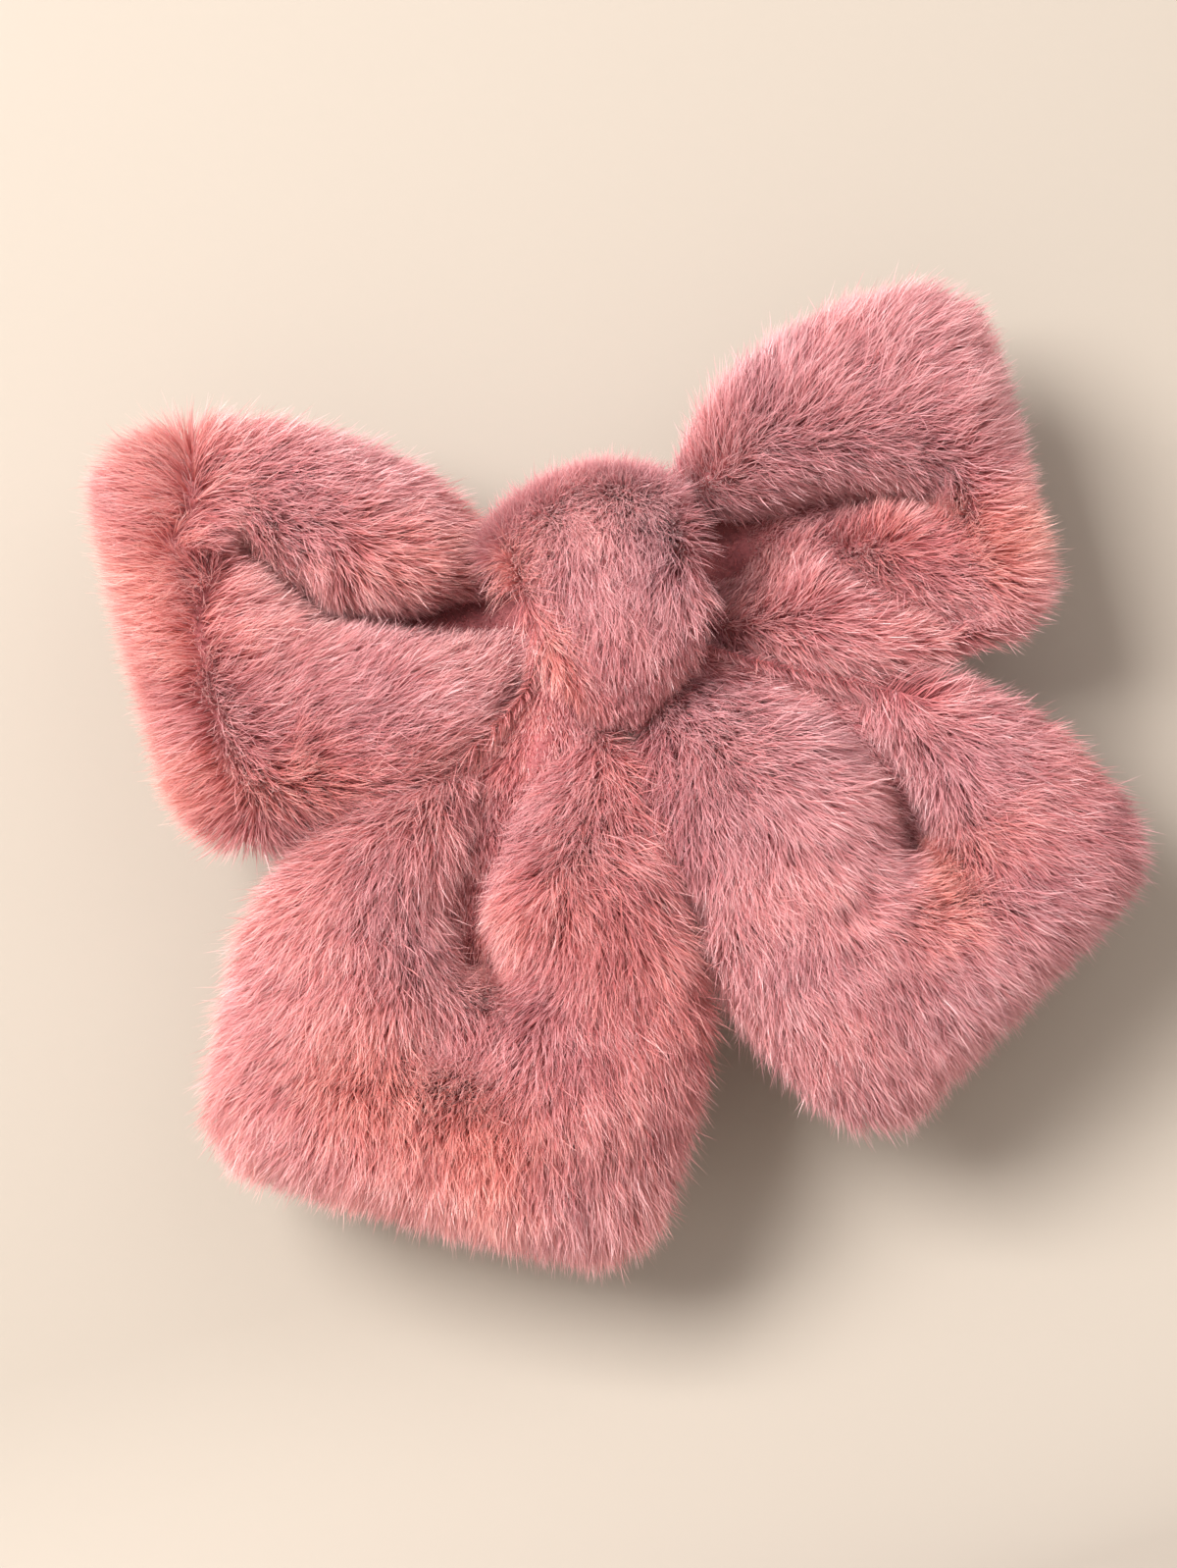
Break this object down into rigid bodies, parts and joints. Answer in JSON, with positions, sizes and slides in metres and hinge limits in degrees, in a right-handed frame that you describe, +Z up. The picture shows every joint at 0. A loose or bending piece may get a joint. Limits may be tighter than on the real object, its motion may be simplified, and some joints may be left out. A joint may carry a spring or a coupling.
{
  "type": "hair bow clip",
  "caption": "Plush faux-fur hair bow with stuffed loops and tails and a wrapped knot, sewn to a hinged spring clip with squeeze-to-open latch wings.",
  "frame": {"origin": "middle of the gap in which the closed clip holds the hair", "axes": "+Z up as the bow is worn, -Y out of the bow's face, +Y towards the hair and the head, +X along the clip from its hinge to its catch"},
  "size_m": [0.1412, 0.0426, 0.1301],
  "materials": {
    "fur_cloth": "long-pile plush fur, dusty rose",
    "fibre_filling": "loose polyester fibre",
    "felt": "pressed felt, matte",
    "thread": "twisted sewing thread",
    "nickel_steel": "nickel-plated, polished",
    "spring_steel": "bare spring steel, satin"
  },
  "bodies": {
    "bow": {"loops_cover": "fur_cloth", "left_tail_cover": "fur_cloth", "right_tail_cover": "fur_cloth", "knot_wrap": "fur_cloth", "left_loop_filling": "fibre_filling", "right_loop_filling": "fibre_filling", "left_tail_filling": "fibre_filling", "right_tail_filling": "fibre_filling", "waist_thread": "thread", "left_tail_thread": "thread", "right_tail_thread": "thread", "clip_stitch_1": "thread", "clip_stitch_2": "thread", "clip_stitch_3": "thread", "clip_stitch_4": "thread", "felt_pad": "felt", "clip_plate": "nickel_steel", "hinge_pin": "nickel_steel", "catch_rivet_1": "nickel_steel", "catch_rivet_2": "nickel_steel", "catch_base": "spring_steel"},
    "arm": {"clasp_arm": "nickel_steel"},
    "leaf": {"tension_leaf": "spring_steel"},
    "upper_wing": {"upper_latch_wing": "spring_steel"},
    "lower_wing": {"lower_latch_wing": "spring_steel"}
  },
  "joints": [
    {"name": "arm_hinge", "type": "hinge", "parent": "bow", "child": "arm", "pos_m": [-0.03, 0, 0], "axis": [0, 0, 1], "range_deg": [0, 100]},
    {"name": "leaf_flex", "type": "hinge", "parent": "bow", "child": "leaf", "pos_m": [-0.0255, -0.00625, 0], "axis": [0, 0, 1], "range_deg": [0, 6], "stiffness_Nm_per_rad": 0.2},
    {"name": "upper_wing_squeeze", "type": "hinge", "parent": "bow", "child": "upper_wing", "pos_m": [0.027, -0.0057, 0.0032], "axis": [-1, 0, 0], "range_deg": [0, 5], "stiffness_Nm_per_rad": 0.001},
    {"name": "lower_wing_squeeze", "type": "hinge", "parent": "bow", "child": "lower_wing", "pos_m": [0.027, -0.0057, -0.0032], "axis": [1, 0, 0], "range_deg": [0, 5], "stiffness_Nm_per_rad": 0.001}
  ],
  "couplings": [
    {"joint": "lower_wing_squeeze", "follows": "upper_wing_squeeze", "ratio": 1}
  ]
}
